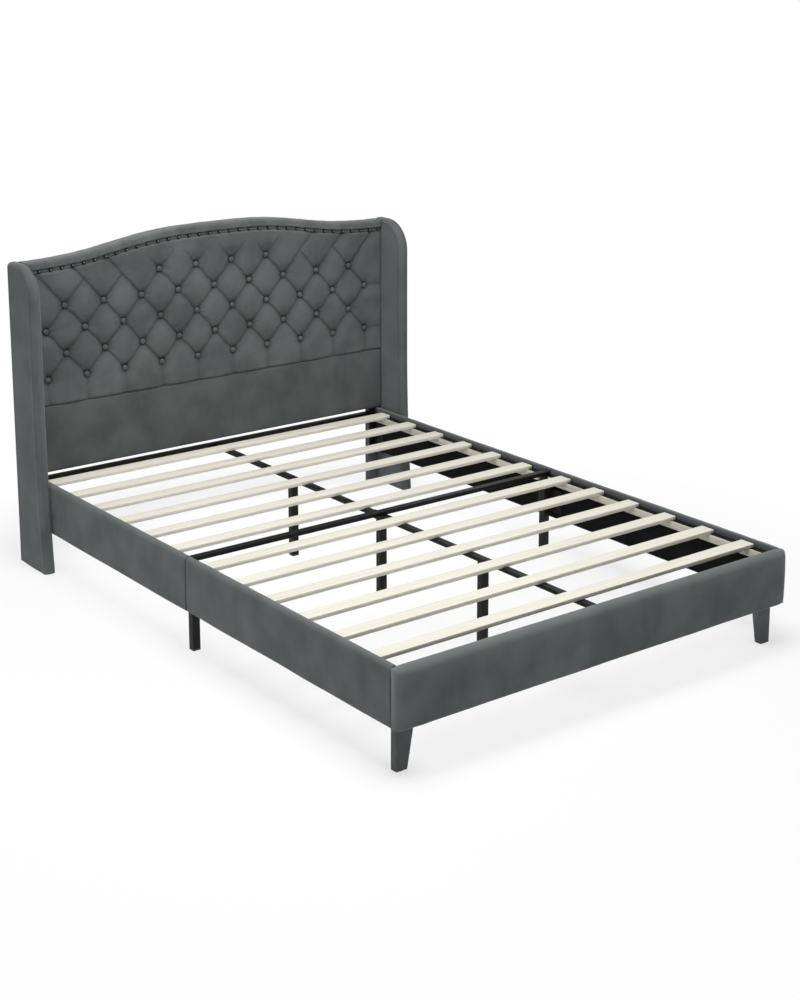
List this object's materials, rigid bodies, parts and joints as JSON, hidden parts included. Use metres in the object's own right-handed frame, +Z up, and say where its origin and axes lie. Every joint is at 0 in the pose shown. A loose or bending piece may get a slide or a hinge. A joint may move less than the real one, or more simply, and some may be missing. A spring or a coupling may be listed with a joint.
{
  "type": "upholstered platform bed",
  "caption": "Upholstered platform bed: winged camelback headboard with diamond tufting and nail trim, padded rails, wooden slats and a steel under-frame on legs.",
  "frame": {"origin": "on the floor, under the middle of the whole bed", "axes": "+Z up, +Y from the foot panel towards the headboard, +X across the bed to the right as seen from the foot"},
  "size_m": [1.5306, 2.054, 1.083],
  "materials": {
    "velvet": "short-pile velvet, grey",
    "leg_cover": "grey cloth over wood",
    "trim_band": "flat grey band",
    "frame_wood": "bare board",
    "slat_wood": "bare pale wood",
    "black_steel": "satin black",
    "bolt_steel": "black oxide",
    "black_cloth": "thin black cloth",
    "nail_metal": "dark polished bronze",
    "black_plastic": "matte"
  },
  "bodies": {
    "root": {"back_cover": "velvet", "centre_leg_foot": "black_steel", "centre_leg_head": "black_steel", "centre_leg_mid": "black_steel", "centre_rail_brackets": "black_steel", "centre_rail_foot": "black_steel", "centre_rail_head": "black_steel", "corner_brackets": "black_steel", "floor_glides": "black_plastic", "foot_board": "frame_wood", "foot_cover": "velvet", "foot_leg_left": "leg_cover", "foot_leg_right": "leg_cover", "frame_bolts": "bolt_steel", "head_brackets": "black_steel", "head_crossbar": "black_steel", "headboard_battens": "frame_wood", "headboard_panel": "frame_wood", "headboard_post_left": "frame_wood", "headboard_post_right": "frame_wood", "inner_backings": "black_cloth", "joint_plates": "black_steel", "ledger_left": "slat_wood", "ledger_right": "slat_wood", "ledger_tapes": "black_cloth", "leg_caps": "black_plastic", "lower_pad": "velvet", "mid_crossbar": "black_steel", "nail_trim": "nail_metal", "post_covers": "velvet", "rail_board_left_foot": "frame_wood", "rail_board_left_head": "frame_wood", "rail_board_right_foot": "frame_wood", "rail_board_right_head": "frame_wood", "rail_cover_left_foot": "velvet", "rail_cover_left_head": "velvet", "rail_cover_right_foot": "velvet", "rail_cover_right_head": "velvet", "side_leg_left": "black_steel", "side_leg_right": "black_steel", "slat_01": "slat_wood", "slat_02": "slat_wood", "slat_03": "slat_wood", "slat_04": "slat_wood", "slat_05": "slat_wood", "slat_06": "slat_wood", "slat_07": "slat_wood", "slat_08": "slat_wood", "slat_09": "slat_wood", "slat_10": "slat_wood", "slat_11": "slat_wood", "slat_12": "slat_wood", "top_border": "velvet", "trim_strip": "trim_band", "tuft_buttons": "velvet", "tufted_pad": "velvet", "wing_core_left": "frame_wood", "wing_core_right": "frame_wood", "wing_cover_left": "velvet", "wing_cover_right": "velvet"}
  },
  "joints": []
}
